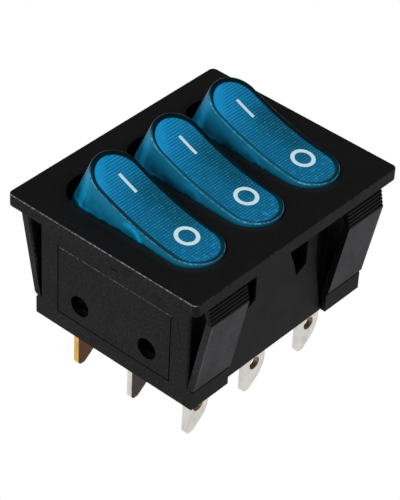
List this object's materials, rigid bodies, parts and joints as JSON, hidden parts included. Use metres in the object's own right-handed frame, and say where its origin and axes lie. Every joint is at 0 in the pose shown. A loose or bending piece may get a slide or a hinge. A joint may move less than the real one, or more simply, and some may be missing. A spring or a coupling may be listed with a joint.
{
  "type": "triple rocker switch",
  "caption": "Illuminated rocker switch bank for a panel cut-out: translucent teal rockers side by side in one black snap-in housing with flat blade terminals underneath.",
  "frame": {"origin": "centre of the bezel's underside, in the panel's plane", "axes": "+X along the row of rockers, +Y towards their I ends, +Z out of the panel"},
  "size_m": [0.038, 0.0316, 0.034],
  "materials": {
    "housing_plastic": "fine-textured black nylon",
    "lens_plastic": "translucent teal polycarbonate",
    "plunger_brass": "turned brass",
    "spring_steel": "bright spring wire",
    "lamp_glass": "clear glass",
    "tinned_strip": "tinned",
    "resistor_body": "lacquered ceramic",
    "copper_strip": "bright copper alloy",
    "contact_silver": "silver alloy",
    "tinned_terminal": "tin-plated strip",
    "brass_terminal": "bare brass strip",
    "leaf_bronze": "phosphor bronze"
  },
  "bodies": {
    "switch_body": {"housing": "housing_plastic", "line_terminal_left": "tinned_terminal", "common_terminal_left": "tinned_terminal", "lamp_terminal_left": "brass_terminal", "fixed_contact_left": "contact_silver", "lamp_leaf_left": "leaf_bronze", "line_terminal_middle": "tinned_terminal", "common_terminal_middle": "tinned_terminal", "lamp_terminal_middle": "brass_terminal", "fixed_contact_middle": "contact_silver", "lamp_leaf_middle": "leaf_bronze", "line_terminal_right": "tinned_terminal", "common_terminal_right": "tinned_terminal", "lamp_terminal_right": "brass_terminal", "fixed_contact_right": "contact_silver", "lamp_leaf_right": "leaf_bronze"},
    "rocker_body_left": {"rocker_left": "lens_plastic", "lamp_left": "lamp_glass", "lamp_contact_left": "tinned_strip", "resistor_left": "resistor_body", "resistor_link_left": "tinned_strip", "plunger_spring_left": "spring_steel"},
    "plunger_body_left": {"plunger_left": "plunger_brass"},
    "lever_body_left": {"contact_lever_left": "copper_strip", "lever_contact_left": "contact_silver"},
    "rocker_body_middle": {"rocker_middle": "lens_plastic", "lamp_middle": "lamp_glass", "lamp_contact_middle": "tinned_strip", "resistor_middle": "resistor_body", "resistor_link_middle": "tinned_strip", "plunger_spring_middle": "spring_steel"},
    "plunger_body_middle": {"plunger_middle": "plunger_brass"},
    "lever_body_middle": {"contact_lever_middle": "copper_strip", "lever_contact_middle": "contact_silver"},
    "rocker_body_right": {"rocker_right": "lens_plastic", "lamp_right": "lamp_glass", "lamp_contact_right": "tinned_strip", "resistor_right": "resistor_body", "resistor_link_right": "tinned_strip", "plunger_spring_right": "spring_steel"},
    "plunger_body_right": {"plunger_right": "plunger_brass"},
    "lever_body_right": {"contact_lever_right": "copper_strip", "lever_contact_right": "contact_silver"}
  },
  "joints": [
    {"name": "rocker_tilt_left", "type": "hinge", "parent": "switch_body", "child": "rocker_body_left", "pos_m": [-0.01085, 0, -0.002], "axis": [-1, 0, 0], "range_deg": [0, 31], "deforming": ["lamp_leaf_left"]},
    {"name": "lever_swing_left", "type": "hinge", "parent": "switch_body", "child": "lever_body_left", "pos_m": [-0.01085, 0, -0.01396], "axis": [1, 0, 0], "range_deg": [0, 15.5]},
    {"name": "plunger_slide_left", "type": "slide", "parent": "rocker_body_left", "child": "plunger_body_left", "axis": [0, -0.2672, 0.9636], "range_m": [0, 0.0008], "stiffness_N_per_m": 500, "springref_m": -0.002, "deforming": ["plunger_spring_left"]},
    {"name": "rocker_tilt_middle", "type": "hinge", "parent": "switch_body", "child": "rocker_body_middle", "pos_m": [0, 0, -0.002], "axis": [-1, 0, 0], "range_deg": [0, 31], "deforming": ["lamp_leaf_middle"]},
    {"name": "lever_swing_middle", "type": "hinge", "parent": "switch_body", "child": "lever_body_middle", "pos_m": [0, 0, -0.01396], "axis": [1, 0, 0], "range_deg": [0, 15.5]},
    {"name": "plunger_slide_middle", "type": "slide", "parent": "rocker_body_middle", "child": "plunger_body_middle", "axis": [0, -0.2672, 0.9636], "range_m": [0, 0.0008], "stiffness_N_per_m": 500, "springref_m": -0.002, "deforming": ["plunger_spring_middle"]},
    {"name": "rocker_tilt_right", "type": "hinge", "parent": "switch_body", "child": "rocker_body_right", "pos_m": [0.01085, 0, -0.002], "axis": [-1, 0, 0], "range_deg": [0, 31], "deforming": ["lamp_leaf_right"]},
    {"name": "lever_swing_right", "type": "hinge", "parent": "switch_body", "child": "lever_body_right", "pos_m": [0.01085, 0, -0.01396], "axis": [1, 0, 0], "range_deg": [0, 15.5]},
    {"name": "plunger_slide_right", "type": "slide", "parent": "rocker_body_right", "child": "plunger_body_right", "axis": [0, -0.2672, 0.9636], "range_m": [0, 0.0008], "stiffness_N_per_m": 500, "springref_m": -0.002, "deforming": ["plunger_spring_right"]}
  ],
  "couplings": [
    {"joint": "lever_swing_left", "follows": "rocker_tilt_left", "ratio": 0.5},
    {"joint": "lever_swing_middle", "follows": "rocker_tilt_middle", "ratio": 0.5},
    {"joint": "lever_swing_right", "follows": "rocker_tilt_right", "ratio": 0.5}
  ]
}
